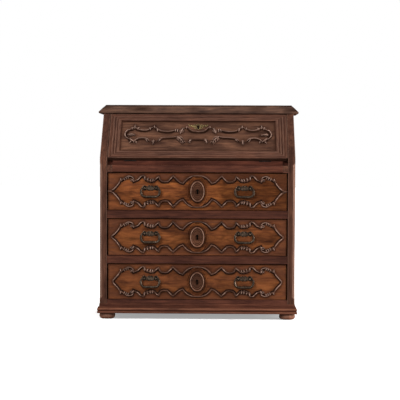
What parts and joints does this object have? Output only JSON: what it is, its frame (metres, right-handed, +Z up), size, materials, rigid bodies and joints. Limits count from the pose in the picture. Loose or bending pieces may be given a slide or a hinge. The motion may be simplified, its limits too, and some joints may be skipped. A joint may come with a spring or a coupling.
{
  "type": "writing bureau",
  "caption": "Slant-front walnut writing bureau: long drawers with carved cartouche mouldings and drop handles under a hinged flap that lowers onto pull-out lopers.",
  "frame": {"origin": "on the floor, under the middle of the whole bureau", "axes": "+Z up, -Y out of the drawer fronts, +X to the viewer's right"},
  "size_m": [1.006, 0.484, 1.0583],
  "materials": {
    "carcase_walnut": "polished walnut, satin",
    "figured_walnut": "figured walnut, satin",
    "carved_walnut": "dark carved walnut, satin",
    "pine": "aged bare pine, matt",
    "dark_bronze": "dark patina, rubbed bright on the edges",
    "brass": "dulled brass",
    "iron": "wrought, browned"
  },
  "bodies": {
    "carcase": {"base_frame": "carcase_walnut", "foot_front_left": "carcase_walnut", "foot_front_right": "carcase_walnut", "foot_rear_left": "carcase_walnut", "foot_rear_right": "carcase_walnut", "side_left": "carcase_walnut", "side_right": "carcase_walnut", "top_board": "carcase_walnut", "bottom_board": "carcase_walnut", "back_panel": "pine", "desk_board": "carcase_walnut", "lower_drawer_rail": "carcase_walnut", "upper_drawer_rail": "carcase_walnut", "top_rail": "carcase_walnut", "flap_stop_rail": "carcase_walnut", "gallery": "carcase_walnut", "desk_hinge_left": "iron", "desk_hinge_right": "iron"},
    "flap": {"flap_frame": "carcase_walnut", "flap_panel": "carcase_walnut", "flap_carving": "carved_walnut", "flap_escutcheon": "brass", "flap_lock": "iron", "flap_hinge_left": "iron", "flap_hinge_right": "iron"},
    "flap_bolt": {"flap_bolt": "iron"},
    "loper_left": {"loper_left": "carcase_walnut"},
    "loper_right": {"loper_right": "carcase_walnut"},
    "small_drawer_left": {"small_drawer_left": "pine"},
    "small_drawer_right": {"small_drawer_right": "pine"},
    "bottom_drawer": {"bottom_drawer_front": "figured_walnut", "bottom_drawer_box": "pine", "bottom_drawer_cartouche": "carved_walnut", "bottom_drawer_keyhole_boss": "carved_walnut", "bottom_drawer_lock": "iron", "bottom_drawer_plate_left": "dark_bronze", "bottom_drawer_plate_right": "dark_bronze"},
    "bottom_drawer_bolt": {"bottom_drawer_bolt": "iron"},
    "bottom_drawer_bail_left": {"bottom_drawer_bail_left": "dark_bronze"},
    "bottom_drawer_bail_right": {"bottom_drawer_bail_right": "dark_bronze"},
    "middle_drawer": {"middle_drawer_front": "figured_walnut", "middle_drawer_box": "pine", "middle_drawer_cartouche": "carved_walnut", "middle_drawer_keyhole_boss": "carved_walnut", "middle_drawer_lock": "iron", "middle_drawer_plate_left": "dark_bronze", "middle_drawer_plate_right": "dark_bronze"},
    "middle_drawer_bolt": {"middle_drawer_bolt": "iron"},
    "middle_drawer_bail_left": {"middle_drawer_bail_left": "dark_bronze"},
    "middle_drawer_bail_right": {"middle_drawer_bail_right": "dark_bronze"},
    "top_drawer": {"top_drawer_front": "figured_walnut", "top_drawer_box": "pine", "top_drawer_cartouche": "carved_walnut", "top_drawer_keyhole_boss": "carved_walnut", "top_drawer_lock": "iron", "top_drawer_plate_left": "dark_bronze", "top_drawer_plate_right": "dark_bronze"},
    "top_drawer_bolt": {"top_drawer_bolt": "iron"},
    "top_drawer_bail_left": {"top_drawer_bail_left": "dark_bronze"},
    "top_drawer_bail_right": {"top_drawer_bail_right": "dark_bronze"}
  },
  "joints": [
    {"name": "flap_hinge", "type": "hinge", "parent": "carcase", "child": "flap", "pos_m": [0, -0.21, 0.777], "axis": [1, 0, 0], "range_deg": [0, 132]},
    {"name": "flap_bolt_slide", "type": "slide", "parent": "flap", "child": "flap_bolt", "axis": [0, 0.6691, 0.7431], "range_m": [0, 0.01]},
    {"name": "loper_left_slide", "type": "slide", "parent": "carcase", "child": "loper_left", "axis": [0, -1, 0], "range_m": [0, 0.27]},
    {"name": "loper_right_slide", "type": "slide", "parent": "carcase", "child": "loper_right", "axis": [0, -1, 0], "range_m": [0, 0.27]},
    {"name": "small_drawer_left_slide", "type": "slide", "parent": "carcase", "child": "small_drawer_left", "axis": [0, -1, 0], "range_m": [0, 0.13]},
    {"name": "small_drawer_right_slide", "type": "slide", "parent": "carcase", "child": "small_drawer_right", "axis": [0, -1, 0], "range_m": [0, 0.13]},
    {"name": "bottom_drawer_slide", "type": "slide", "parent": "carcase", "child": "bottom_drawer", "axis": [0, -1, 0], "range_m": [0, 0.32]},
    {"name": "bottom_drawer_bolt_slide", "type": "slide", "parent": "bottom_drawer", "child": "bottom_drawer_bolt", "axis": [0, 0, 1], "range_m": [0, 0.01]},
    {"name": "bottom_drawer_bail_left_swing", "type": "hinge", "parent": "bottom_drawer", "child": "bottom_drawer_bail_left", "pos_m": [-0.23, -0.2361, 0.2005], "axis": [-1, 0, 0], "range_deg": [0, 165]},
    {"name": "bottom_drawer_bail_right_swing", "type": "hinge", "parent": "bottom_drawer", "child": "bottom_drawer_bail_right", "pos_m": [0.23, -0.2361, 0.2005], "axis": [-1, 0, 0], "range_deg": [0, 165]},
    {"name": "middle_drawer_slide", "type": "slide", "parent": "carcase", "child": "middle_drawer", "axis": [0, -1, 0], "range_m": [0, 0.32]},
    {"name": "middle_drawer_bolt_slide", "type": "slide", "parent": "middle_drawer", "child": "middle_drawer_bolt", "axis": [0, 0, 1], "range_m": [0, 0.01]},
    {"name": "middle_drawer_bail_left_swing", "type": "hinge", "parent": "middle_drawer", "child": "middle_drawer_bail_left", "pos_m": [-0.23, -0.2361, 0.4195], "axis": [-1, 0, 0], "range_deg": [0, 165]},
    {"name": "middle_drawer_bail_right_swing", "type": "hinge", "parent": "middle_drawer", "child": "middle_drawer_bail_right", "pos_m": [0.23, -0.2361, 0.4195], "axis": [-1, 0, 0], "range_deg": [0, 165]},
    {"name": "top_drawer_slide", "type": "slide", "parent": "carcase", "child": "top_drawer", "axis": [0, -1, 0], "range_m": [0, 0.32]},
    {"name": "top_drawer_bolt_slide", "type": "slide", "parent": "top_drawer", "child": "top_drawer_bolt", "axis": [0, 0, 1], "range_m": [0, 0.01]},
    {"name": "top_drawer_bail_left_swing", "type": "hinge", "parent": "top_drawer", "child": "top_drawer_bail_left", "pos_m": [-0.23, -0.2361, 0.643], "axis": [-1, 0, 0], "range_deg": [0, 165]},
    {"name": "top_drawer_bail_right_swing", "type": "hinge", "parent": "top_drawer", "child": "top_drawer_bail_right", "pos_m": [0.23, -0.2361, 0.643], "axis": [-1, 0, 0], "range_deg": [0, 165]}
  ]
}
